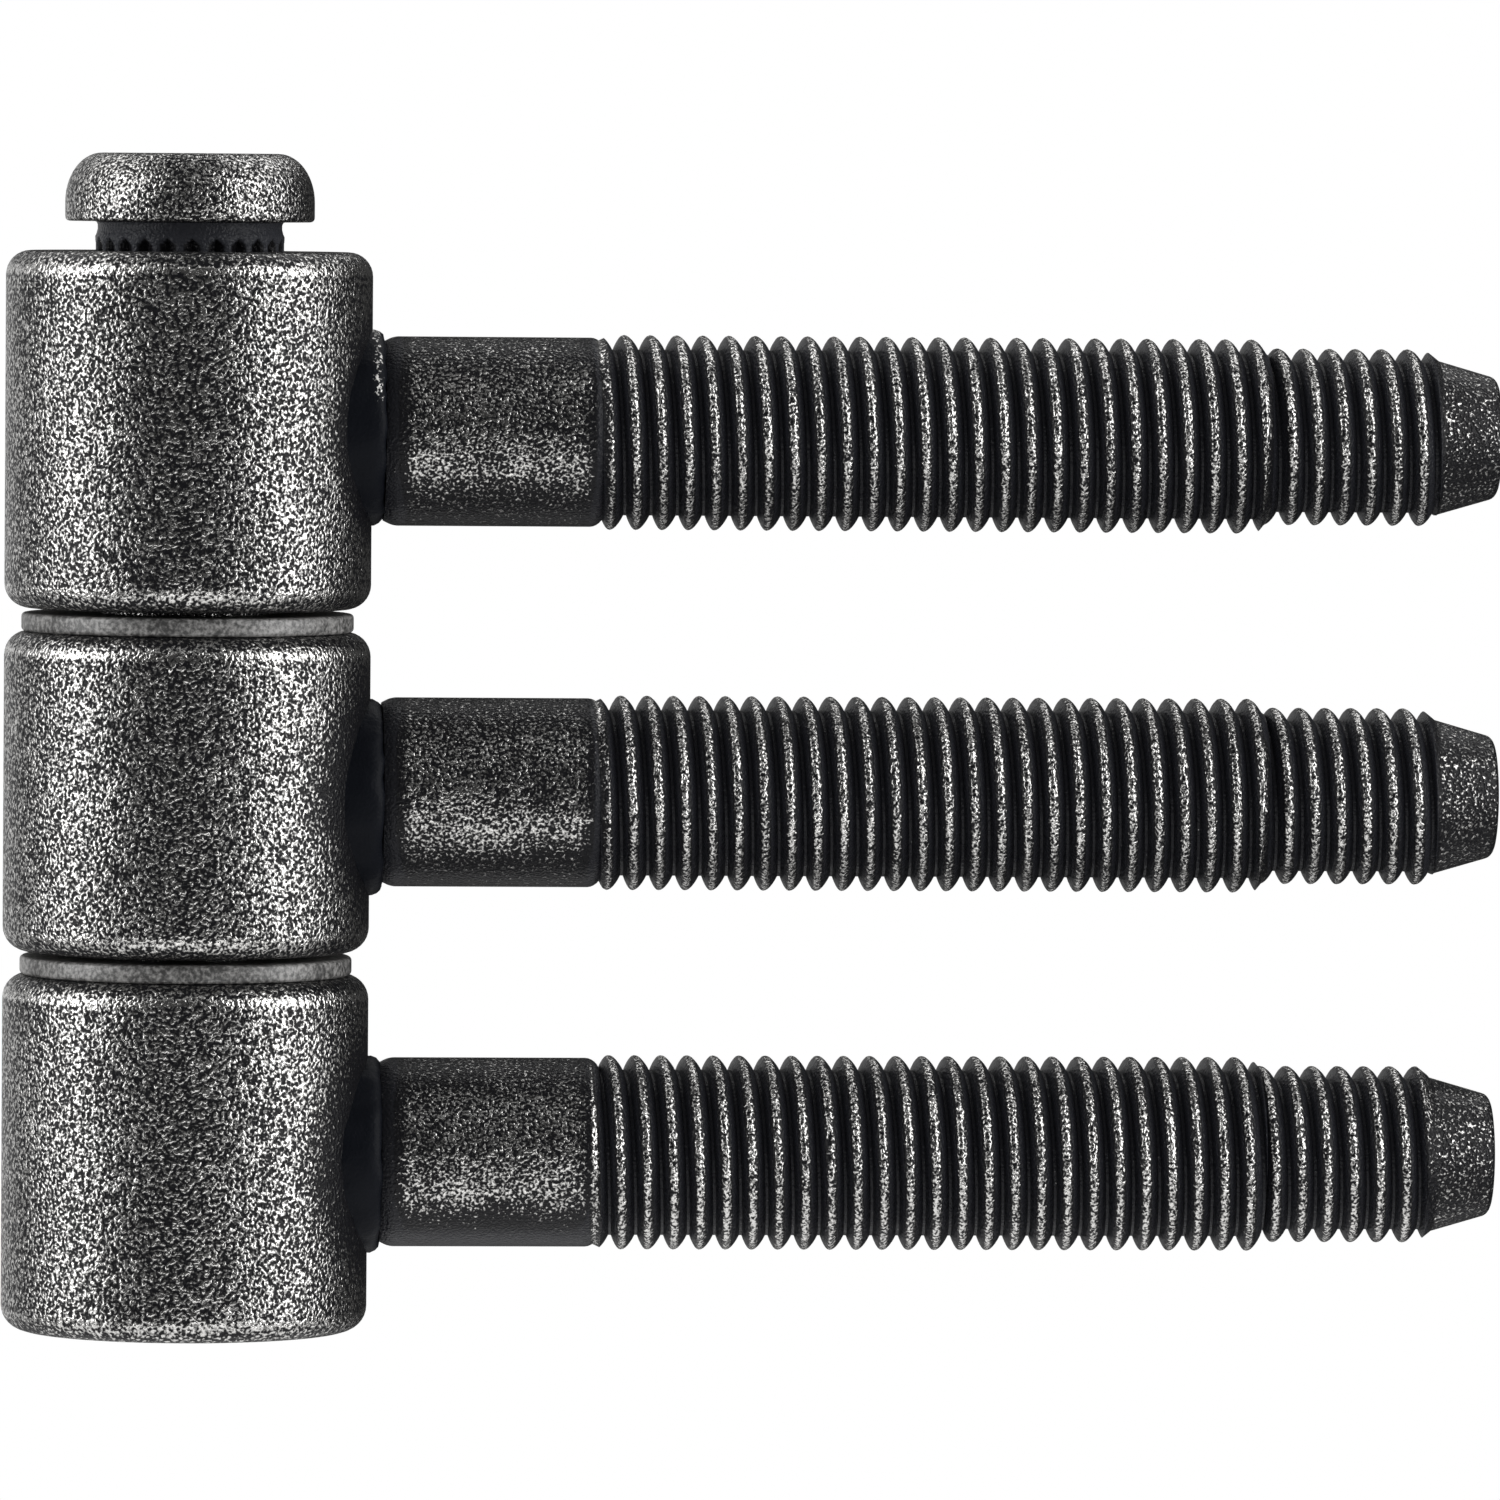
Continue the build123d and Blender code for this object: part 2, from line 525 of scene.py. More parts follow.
def antique_metal(name, cover, wear_gain, tarnish, hollow, fineness=1.0):
    """Steel under dark lacquer, worn back to worm-like silver specks. cover moves their
    share, wear_gain says how much the wear kept on the mesh adds, with the painted
    highlights and painted shade that it holds, tarnish how far the large patches take away,
    hollow is the colour where nothing is worn, and fineness is the size of the specks."""
    finish = bpy.context.scene.hinge_finish
    material, tree, shader, place = new_material(name)
    specks = noise(tree, place, finish.grain * fineness, detail=1.0, rough=0.4, twist=0.3)
    patches = noise(tree, place, finish.grain * 16, detail=2.0)
    wear = kept_wear_and_light(tree)
    level = speckle_level(tree, specks, wear, wear_gain, patches, tarnish)
    silver = between(tree, level, *(edge - cover for edge in SILVER_LEVELS))
    metal = between(tree, level, *(edge - cover for edge in METAL_LEVELS))
    lacquer = blend_colours(
        tree, between(tree, wear, *WHOLE_LACQUER, start=1, end=0), finish.lacquer, hollow
    )
    base_colour = blend_colours(tree, silver, lacquer, finish.silver)
    roughness = between(tree, silver, 0, 1, LACQUER_ROUGHNESS, SILVER_ROUGHNESS, smooth=False)
    tree.links.new(base_colour, shader.inputs["Base Color"])
    tree.links.new(metal, shader.inputs["Metallic"])
    tree.links.new(roughness, shader.inputs["Roughness"])
    shader.inputs["Specular IOR Level"].default_value = 0.2
    add_bump(tree, shader, specks, depth=0.1 * MM, strength=0.7)
    return material


def weld_metal():
    """Rough weld metal under dark lacquer, with a little silver on its lumps."""
    finish = bpy.context.scene.hinge_finish
    material, tree, shader, place = new_material("weld_metal")
    specks = noise(tree, place, finish.grain, detail=2.0, twist=0.3)
    patches = noise(tree, place, finish.grain * 5, detail=2.0)
    level = speckle_level(
        tree, specks, kept_wear_and_light(tree), wear_gain=0.3, patches=patches, tarnish=0.25
    )
    silver = between(tree, level, 0.64, 0.8)
    base_colour = blend_colours(tree, silver, finish.weld, finish.silver)
    tree.links.new(base_colour, shader.inputs["Base Color"])
    tree.links.new(silver, shader.inputs["Metallic"])
    shader.inputs["Roughness"].default_value = 0.5
    shader.inputs["Specular IOR Level"].default_value = 0.1
    add_bump(tree, shader, specks, depth=0.05 * MM, strength=0.5)
    return material


def washer_grey():
    """Matte grey plastic, lightly mottled by dust and oil."""
    finish = bpy.context.scene.hinge_finish
    material, tree, shader, place = new_material("washer_grey")
    dust = noise(tree, place, finish.grain * 1.2, detail=3.0, rough=0.6)
    patches = noise(tree, place, finish.grain * 10, detail=2.0)
    level = added(tree, scaled(tree, dust, 0.7), scaled(tree, patches, 0.3))
    dark = tuple(0.3 * channel for channel in finish.washer)
    light = tuple(min(1, 2.6 * channel) for channel in finish.washer)
    base_colour = blend_colours(tree, between(tree, level, 0.38, 0.66), dark, light)
    tree.links.new(base_colour, shader.inputs["Base Color"])
    shader.inputs["Roughness"].default_value = 0.42
    shader.inputs["Specular IOR Level"].default_value = 0.9
    add_bump(tree, shader, dust, depth=0.03 * MM, strength=0.4)
    return material


# Pieces


class HINGE_OT_barrels(bpy.types.Operator):
    """Turns the three barrels with their rounded rims, bores and the counterbore"""

    bl_idname = "hinge.barrels"
    bl_label = "Barrels"

    # Distance between the rings round a barrel's side, between which its wear changes, and
    # from each end to the first ring, in rims
    RING_GAP = 0.55 * MM
    FIRST_RING = 1.25
    # The line on each rim, worn and partly a painted highlight where the rounding catches the
    # light from above: its depth below the end, its half width and its outer half width, in
    # rims, and its wear and highlight at the upper and the lower end of a barrel
    LINE_DEPTH = 0.75
    LINE_WIDTHS = (0.05, 0.25)
    UPPER_LINE, LOWER_LINE = 1.1, 0.7
    # How far a rim's wear reaches, in rims, and the bore's, in bores, and how much less the
    # silver shows on an end face
    RIM_REACH = 1.2
    BORE_REACH = 1.2
    END_LOSS = 0.3
    # The darkening round a weld, partly lacquer and partly a painted reflection of the dark
    # stud: where it starts to thin out and where that ends, measured from the stud's axis
    LACQUER_AND_SHADE_START = 4 * MM
    LACQUER_AND_SHADE_REACH = {"top": 5.2 * MM, "middle": 6.1 * MM, "bottom": 6.2 * MM}
    LACQUER_AND_SHADE = 1.8

    def execute(self, context):
        sizes = context.scene.hinge_barrels
        finish = context.scene.hinge_finish
        material = antique_metal(
            "barrel_steel", cover=0.01, wear_gain=0.14, tarnish=0.1, hollow=finish.lacquer
        )
        for leaf in LEAVES:
            base, top = heights(f"{leaf}_barrel")
            outline = [(sizes.bore, base), (sizes.radius, base)]
            low, high = base + self.FIRST_RING * sizes.rim, top - self.FIRST_RING * sizes.rim
            rings = round((high - low) / self.RING_GAP)
            outline += [
                (sizes.radius, low + (high - low) * ring / rings) for ring in range(rings + 1)
            ]
            outline += [(sizes.radius, top)]
            if leaf == "top":
                seat = top - sizes.counterbore_depth
                outline += [(sizes.counterbore, top), (sizes.counterbore, seat)]
                outline += [(sizes.bore, seat)]
            else:
                outline += [(sizes.bore, top)]
            outline += [(sizes.bore, base)]
            barrel = turn(f"{leaf}_barrel_turned", Z_AXIS, outline, WIDE_STEPS)
            for end in (base, top):
                round_ring(barrel, Z_AXIS, sizes.radius, end, sizes.rim, segments=8)
            self.wear_highlight_and_shade_sides(barrel, sizes, base, top, self.LACQUER_AND_SHADE_REACH[leaf])
            finish_piece(
                barrel, f"{leaf}_leaf", f"{leaf}_barrel", material
            )
        return {"FINISHED"}

    def wear_highlight_and_shade_sides(self, barrel, sizes, base, top, lacquer_and_shade_reach):
        """Wears a thin line where each rim's rounding meets the side, which is partly a painted
        highlight, brighter on the upper rim, and darkens the side round the stud's weld with
        lacquer and with a painted reflection of the dark stud."""
        clear_selection()

        def wear_at(point):
            out, along = around(Z_AXIS, point)
            if out < sizes.bore * self.BORE_REACH:
                return 0
            depth = min(along - base, top - along) / sizes.rim
            if depth < self.RIM_REACH:
                # The line is brighter on the upper rim: partly wear, partly a painted highlight
                # from the light above
                line = self.UPPER_LINE if top - along < along - base else self.LOWER_LINE
                line *= 1 - ramp(abs(depth - self.LINE_DEPTH), *self.LINE_WIDTHS)
                return line - self.END_LOSS * (1 - ramp(depth, 0.2, 0.6))
            if point.x < 0:
                return 0
            # Round the weld the side is darkened: lacquer, and a painted reflection of the dark
            # stud
            from_stud = hypot(point.y, along - (base + top) / 2)
            thinned = ramp(from_stud, self.LACQUER_AND_SHADE_START, lacquer_and_shade_reach)
            return self.LACQUER_AND_SHADE * thinned - self.LACQUER_AND_SHADE

        mark_wear_and_light(barrel, wear_at)


class HINGE_OT_washers(bpy.types.Operator):
    """Turns one bearing washer and copies it to the other joint"""

    bl_idname = "hinge.washers"
    bl_label = "Washers"

    def execute(self, context):
        sizes = context.scene.hinge_washers
        material = washer_grey()
        base, top = heights("lower_washer")
        outline = [
            (sizes.bore, base),
            (sizes.radius, base),
            (sizes.radius, top),
            (sizes.bore, top),
            (sizes.bore, base),
        ]
        lower = turn("lower_washer_turned", Z_AXIS, outline, WIDE_STEPS)
        for end in (base, top):
            round_ring(lower, Z_AXIS, sizes.radius, end, sizes.edge, segments=4)
        clear_selection()
        upper = copy_of(lower, "upper_washer_turned")
        lift(upper, heights("upper_washer")[0] - base)
        finish_piece(lower, "bottom_leaf", "lower_washer", material)
        finish_piece(upper, "middle_leaf", "upper_washer", material)
        return {"FINISHED"}


class HINGE_OT_pin(bpy.types.Operator):
    """Turns the headed pin and presses the flutes into its neck"""

    bl_idname = "hinge.pin"
    bl_label = "Pin"

    SEGMENTS_A_FLUTE = 8
    # Rows of vertices along the flutes' run-out, as shares of its length below its point
    RUN_OUT_ROWS = (1, 0.62, 0.34, 0.14, 0)
    # How the ridges run into the neck: the share of their height at each rise above them
    RIDGE_ENDS = ((0.45, 0.12 * MM), (0, 0.3 * MM))
    # The fillet between neck and head
    FILLET = 0.14 * MM
    SHOULDER_STEPS = 14
    # Wear of the head and the shaft, of the bare neck, and of the flutes and their ridges
    STEEL_WEAR, NECK_WEAR = 0.1, -2
    FLUTE_WEAR, RIDGE_WEAR_AND_HIGHLIGHT = -1.2, -2

    def execute(self, context):
        sizes = context.scene.hinge_pin
        finish = context.scene.hinge_finish
        head_base = PIN_TOP - sizes.head_height
        flute_top = head_base - sizes.flute_head_gap
        flute_base = flute_top - sizes.flute_length
        run_out = [flute_top - sizes.flute_run_out * share for share in self.RUN_OUT_ROWS]
        fillet = self.FILLET
        outline = [(0, PIN_BASE), (sizes.shaft, PIN_BASE), (sizes.shaft, flute_base)]
        outline += [(sizes.flute_crest, flute_base)]
        outline += [(sizes.flute_crest, height) for height in run_out]
        ridge = sizes.flute_crest - sizes.neck
        outline += [
            (sizes.neck + share * ridge, flute_top + rise) for share, rise in self.RIDGE_ENDS
        ]
        outline += [(sizes.neck, head_base - fillet)]
        outline += [(sizes.neck + 0.3 * fillet, head_base - 0.3 * fillet)]
        outline += [(sizes.neck + fillet, head_base), (sizes.head_radius, head_base)]
        shoulder = sizes.head_radius - sizes.head_flat
        for step in range(self.SHOULDER_STEPS + 1):
            angle = radians(90 * step / self.SHOULDER_STEPS)
            outline.append(
                (
                    sizes.head_flat + shoulder * cos(angle),
                    PIN_TOP - sizes.head_shoulder * (1 - sin(angle)),
                )
            )
        outline.append((0, PIN_TOP))
        pin = turn("headed_pin", Z_AXIS, outline, self.SEGMENTS_A_FLUTE * sizes.flutes)
        round_ring(pin, Z_AXIS, sizes.head_radius, head_base, sizes.head_edge, segments=4)
        round_ring(pin, Z_AXIS, sizes.shaft, PIN_BASE, sizes.end_chamfer, segments=1)
        self.press_flutes(pin, sizes, run_out)
        self.wear_pin(pin, sizes, head_base)
        material = antique_metal(
            "pin_steel",
            cover=0.01,
            wear_gain=0.2,
            tarnish=0.15,
            hollow=finish.neck,
            fineness=0.85,
        )
        finish_piece(pin, "pin", "hinge_pin", material)
        return {"FINISHED"}

    def press_flutes(self, pin, sizes, run_out):
        """Presses each flute's lines of vertices inwards, deepest in its middle, and brings
        its upper end to a point."""
        count = self.SEGMENTS_A_FLUTE * sizes.flutes
        half = self.SEGMENTS_A_FLUTE // 2
        low = run_out[0] - sizes.flute_length
        for row, height in enumerate(run_out[:-1]):
            opening = 1 if row == 0 else (run_out[-1] - height) / sizes.flute_run_out
            for step in range(half):
                depth = sizes.flute_depth * ramp(opening - step / (half - 0.6), 0, 1)
                if depth <= 0:
                    continue

                def in_line(vertex):
                    out, along = around(Z_AXIS, vertex.co)
                    if abs(out - sizes.flute_crest) > NEAR:
                        return False
                    if row == 0 and not low < along < height + NEAR:
                        return False
                    if row and abs(along - height) > NEAR:
                        return False
                    turned = round(count * vertex.co.xy.angle_signed(Vector((1, 0))) / (2 * pi))
                    off = turned % self.SEGMENTS_A_FLUTE
                    return min(off, self.SEGMENTS_A_FLUTE - off) == step

                pick(pin, "VERT", in_line)
                size = 1 - depth / sizes.flute_crest
                bpy.ops.transform.resize(value=(size, size, 1), center_override=(0, 0, 0))
        clear_selection()

    def wear_pin(self, pin, sizes, head_base):
        """Wears the head and the shaft, and leaves the neck bare and the flutes black."""
        flute_top = head_base - sizes.flute_head_gap

        def wear_at(point):
            out, along = around(Z_AXIS, point)
            if along > head_base - 0.01 * MM or out < sizes.shaft + NEAR:
                return self.STEEL_WEAR
            if along > flute_top - 0.02 * MM:
                return self.NECK_WEAR
            crest = sizes.flute_crest
            raised = ramp(out, crest - 0.12 * MM, crest - 0.02 * MM)
            return self.FLUTE_WEAR + (self.RIDGE_WEAR_AND_HIGHLIGHT - self.FLUTE_WEAR) * raised

        mark_wear_and_light(pin, wear_at)


class HINGE_OT_studs(bpy.types.Operator):
    """Winds and turns one threaded stud and copies it to the three leaves"""

    bl_idname = "hinge.studs"
    bl_label = "Studs"

    STEPS_A_TURN = 48
    # Shares of the pitch: half of the root's flat, the crest, nearer to the barrel's side,
    # and how far the worn band lies beyond the crest, towards the flank that the right
    # softbox lights, which is a painted highlight
    FLAT = 0.05
    CREST_SHARE = 0.42
    BAND_HIGHLIGHT_SHIFT = 0.04
    # Wear of the band on the crests and of the roots, and half widths of the band, in pitches
    BAND_WEAR, ROOT_WEAR = 0.75, -2
    BAND_WIDTHS = (0.1, 0.22)
    # Steps up and down a ridge, and how full its outline is
    RISE_STEPS, FALL_STEPS = 5, 6
    FULLNESS = 0.9
    FIRST_CREST = 17.6 * MM
    # How far the core lies inside the roots, and how far a blank clears the crests
    CORE_GAP = 0.1 * MM
    BLANK_GAP = 0.02 * MM
    # Rings round the shank, in millimetres, between which its wear fades
    SHANK_RINGS = (8.75, 9.05, 9.4, 12, 14, 15.9, 16.3)
    # Places of the first crest at the top of each stud, by which its thread is turned
    CRESTS = {"top": 17.8 * MM, "middle": 17.78 * MM, "bottom": 17.4 * MM}
    # Wear of a shank's middle, and how much darker it is made at both ends, on the upper side
    # and on the lower side of each leaf's: partly lacquer and partly painted shade, the lower
    # side darkest on the bottom leaf
    SHANK_WEAR = 0.2
    SHANK_ENDS = 2
    UPPER_LACQUER_AND_SHADE = 0.8
    UNDERSIDE_LACQUER_AND_SHADE = {"top": 1.3, "middle": 1.4, "bottom": 2.2}
    CONE_WEAR = -0.6

    def execute(self, context):
        sizes = context.scene.hinge_studs
        finish = context.scene.hinge_finish
        stud = self.turned_core(sizes)
        main = self.wound_thread(
            "main_thread", sizes, sizes.root, sizes.crest, STUD_START, sizes.main_reach
        )
        blank = [
            (0, sizes.shank_reach - 0.1 * MM),
            (sizes.shank * 0.97, sizes.shank_reach - 0.1 * MM),
            (sizes.crest + self.BLANK_GAP, sizes.shank_reach + 0.45 * MM),
            (sizes.crest + self.BLANK_GAP, sizes.main_reach - 0.3 * MM),
            (sizes.lead_crest - 0.1 * MM, sizes.main_reach + 0.1 * MM),
            (0, sizes.main_reach + 0.1 * MM),
        ]
        combine(main, turn("main_blank", X_AXIS, blank, STUD_STEPS), "INTERSECT")
        combine(stud, main, "UNION")
        lead = self.wound_thread(
            "lead_thread", sizes, sizes.lead_root, sizes.lead_crest, sizes.main_reach, STUD_END
        )
        blank = [
            (0, sizes.main_reach - 0.6 * MM),
            (sizes.root - self.CORE_GAP, sizes.main_reach - 0.6 * MM),
            (sizes.lead_crest + self.BLANK_GAP, sizes.main_reach),
            (sizes.lead_crest + self.BLANK_GAP, sizes.lead_reach - 0.5 * MM),
            (sizes.cone - 0.02 * MM, sizes.lead_reach + 0.1 * MM),
            (0, sizes.lead_reach + 0.1 * MM),
        ]
        combine(lead, turn("lead_blank", X_AXIS, blank, STUD_STEPS), "INTERSECT")
        combine(stud, lead, "UNION")
        material = antique_metal(
            "stud_steel",
            cover=-0.02,
            wear_gain=0.14,
            tarnish=0.16,
            hollow=finish.hollows,
            fineness=0.85,
        )
        for leaf in LEAVES:
            copied = copy_of(stud, f"{leaf}_stud_threaded")
            select_all_of(copied)
            shift = (self.CRESTS[leaf] - self.FIRST_CREST) / sizes.pitch
            bpy.ops.transform.rotate(
                value=2 * pi * shift, orient_axis="X", center_override=(0, 0, 0)
            )
            clear_selection()
            self.wear_and_shade_stud(copied, sizes, leaf)
            lift(copied, stud_height(leaf))
            finish_piece(
                copied, f"{leaf}_leaf", f"{leaf}_stud", material, 50
            )
        take(stud)
        bpy.ops.object.delete()
        return {"FINISHED"}

    def turned_core(self, sizes):
        """The plain shank, from its shoulder at the weld to the thread's start, a core inside
        the threads, and the blunt cone."""
        shoulder_end = STUD_START + sizes.shoulder
        core = sizes.root - self.CORE_GAP
        lead_core = sizes.lead_root - self.CORE_GAP
        outline = [
            (0, STUD_START),
            (sizes.neck, STUD_START),
            (sizes.shank, shoulder_end),
            *((sizes.shank, place * MM) for place in self.SHANK_RINGS),
            (sizes.shank, sizes.shank_reach),
            (core, sizes.shank_reach + 0.2 * MM),
            (core, sizes.main_reach - 1 * MM),
            (lead_core, sizes.main_reach - 0.8 * MM),
            (lead_core, sizes.lead_reach - 0.4 * MM),
            (sizes.cone, sizes.lead_reach),
            (sizes.tip, STUD_END),
            (0, STUD_END),
        ]
        stud = turn("stud", X_AXIS, outline, STUD_STEPS)
        for out, along, width in (
            (sizes.shank, shoulder_end, 0.2 * MM),
            (sizes.shank, sizes.shank_reach, 0.4 * MM),
            (sizes.tip, STUD_END, sizes.tip_rounding),
        ):
            round_ring(stud, X_AXIS, out, along, width, segments=5)
        clear_selection()
        return stud

    def wound_thread(self, name, sizes, root, crest, start, end):
        """A threaded rod: one rounded ridge as an outline, wound by a Screw modifier, cut
        square at both ends and capped."""
        turns_back = int((self.FIRST_CREST - start) / sizes.pitch) + 3
        first = self.FIRST_CREST - (turns_back + self.CREST_SHARE) * sizes.pitch
        turns = int((end - first) / sizes.pitch) + 3
        rise, fall = self.CREST_SHARE - self.FLAT, 1 - self.FLAT - self.CREST_SHARE
        up, down = self.RISE_STEPS, self.FALL_STEPS
        ridge = [(0, 0)]
        ridge += [
            (self.FLAT + rise * step / up, sin(pi / 2 * step / up) ** self.FULLNESS)
            for step in range(up + 1)
        ]
        ridge += [
            (1 - self.FLAT - fall * step / down, sin(pi / 2 * step / down) ** self.FULLNESS)
            for step in range(down - 1, -1, -1)
        ]
        ridge.append((1, 0))
        outline = [
            Vector((first + share * sizes.pitch, 0, root + (crest - root) * height))
            for share, height in ridge
        ]
        rod = draw_outline(name, outline)
        clear_selection()
        apply_modifier(
            rod,
            "SCREW",
            axis="X",
            angle=2 * pi,
            screw_offset=sizes.pitch,
            iterations=turns,
            steps=self.STEPS_A_TURN,
            render_steps=self.STEPS_A_TURN,
        )
        select_all_of(rod)
        bpy.ops.mesh.remove_doubles(threshold=MERGE)
        # Each cut lies a little off a whole turn, so that it meets no vertices
        for place, side in ((2.03, 1), (turns - 1.03, -1)):
            bpy.ops.mesh.select_all(action="SELECT")
            bpy.ops.mesh.bisect(
                plane_co=(first + place * sizes.pitch, 0, 0),
                plane_no=(side, 0, 0),
                use_fill=True,
                clear_inner=True,
                threshold=MERGE / 20,
            )
        close_mesh()
        clear_selection()
        return rod

    def wear_and_shade_stud(self, stud, sizes, leaf):
        """Wears the thread's crests, with a painted highlight on the flank beyond them, and the
        middle of the shank, and leaves the rest dark: on the shank's ends, top and underside
        partly lacquer and partly painted shade.
        """
        first_crest, underside_lacquer_and_shade = self.CRESTS[leaf], self.UNDERSIDE_LACQUER_AND_SHADE[leaf]

        def wear_at(point):
            along = point.x
            if along < sizes.shank_reach - 0.3 * MM:
                ends = 1 - ramp(along, 8.4 * MM, 9 * MM) + ramp(along, 16.2 * MM, 16.6 * MM)
                above = ramp(point.z / sizes.shank, 0.55, 0.9)
                below = ramp(-point.z / sizes.shank, 0.4, 0.85)
                # The shank's ends, top and underside are darkened, partly lacquer and partly
                # painted shade, the underside most on the bottom leaf
                lacquer = self.SHANK_ENDS * ends + self.UPPER_LACQUER_AND_SHADE * above + underside_lacquer_and_shade * below
                return max(-2, self.SHANK_WEAR - lacquer)
            if along > sizes.lead_reach - 0.02 * MM:
                return self.CONE_WEAR
            turned = atan2(-point.y, point.z) / (2 * pi)
            # The worn band is moved onto the flank that faces the right softbox: a painted
            # highlight
            place = (along - first_crest) / sizes.pitch - turned - self.BAND_HIGHLIGHT_SHIFT
            off = abs(place - round(place))
            return self.BAND_WEAR + (self.ROOT_WEAR - self.BAND_WEAR) * ramp(
                off, *self.BAND_WIDTHS
            )

        mark_wear_and_light(stud, wear_at)


class HINGE_OT_welds(bpy.types.Operator):
    """Models the weld beads between the barrels and the studs"""

    bl_idname = "hinge.welds"
    bl_label = "Welds"

    # How far each bead stands above its stud's axis
    RISES = {"top": 0.17 * MM, "middle": -0.22 * MM, "bottom": -0.08 * MM}
    # A bead's outline: shares of its radius, and distances from the pin's axis
    OUTLINE = (
        (0, 5.2 * MM),
        (1, 5.2 * MM),
        (1, 5.9 * MM),
        (1, 6.5 * MM),
        (1, 7.0 * MM),
        (1, 7.35 * MM),
        (0.995, 7.6 * MM),
        (0.975, 7.8 * MM),
        (0.945, 7.93 * MM),
        (0.905, STUD_START),
        (0, STUD_START),
    )
    # How far the beads reach into the barrels, and half the height of the piece cut away
    SUNK = 0.02 * MM
    CUT_HALF = 6 * MM
    # The bright ridge of a bead, worn and partly a painted highlight on its upper part: its
    # place, its wear and highlight on each leaf and the wear beside it
    RIDGE = 7.6 * MM
    RIDGE_WEAR_AND_HIGHLIGHT = {"top": 1.5, "middle": 0, "bottom": 0}
    SCALE_WEAR = -1

    def execute(self, context):
        sizes = context.scene.hinge_welds
        material = weld_metal()
        cut_radius = context.scene.hinge_barrels.radius - self.SUNK
        for leaf in LEAVES:
            outline = [(share * sizes.radius, along) for share, along in self.OUTLINE]
            bead = turn(f"{leaf}_weld_bead", X_AXIS, outline, STUD_STEPS)
            height = stud_height(leaf) + self.RISES[leaf]
            lift(bead, height)
            clear_selection()
            lumps = bpy.data.textures.new(f"{leaf}_weld_lumps", "CLOUDS")
            lumps.noise_scale = sizes.lump_size
            lumps.noise_depth = 2
            strength = 2 * sizes.lumps
            apply_modifier(bead, "DISPLACE", texture=lumps, strength=strength, mid_level=0.5)
            cutter = [
                (0, height - self.CUT_HALF),
                (cut_radius, height - self.CUT_HALF),
                (cut_radius, height + self.CUT_HALF),
                (0, height + self.CUT_HALF),
            ]
            combine(bead, turn("barrel_cutter", Z_AXIS, cutter, WIDE_STEPS), "DIFFERENCE")
            clear_selection()
            self.wear_and_highlight_ridge(bead, height, self.RIDGE_WEAR_AND_HIGHLIGHT[leaf])
            finish_piece(bead, f"{leaf}_leaf", f"{leaf}_weld", material, 60)
        return {"FINISHED"}

    def wear_and_highlight_ridge(self, bead, height, ridge):
        """Wears the upper part of a bead's ridge, which is partly a painted highlight."""

        def wear_at(point):
            # The ridge's silver rises towards its top: partly wear, partly a painted highlight
            risen = ramp(point.z - height, -1.8 * MM, 2 * MM)
            off = ramp(abs(point.x - self.RIDGE), 0.15 * MM, 0.4 * MM)
            return ridge * risen * (1 - off) + self.SCALE_WEAR

        mark_wear_and_light(bead, wear_at)


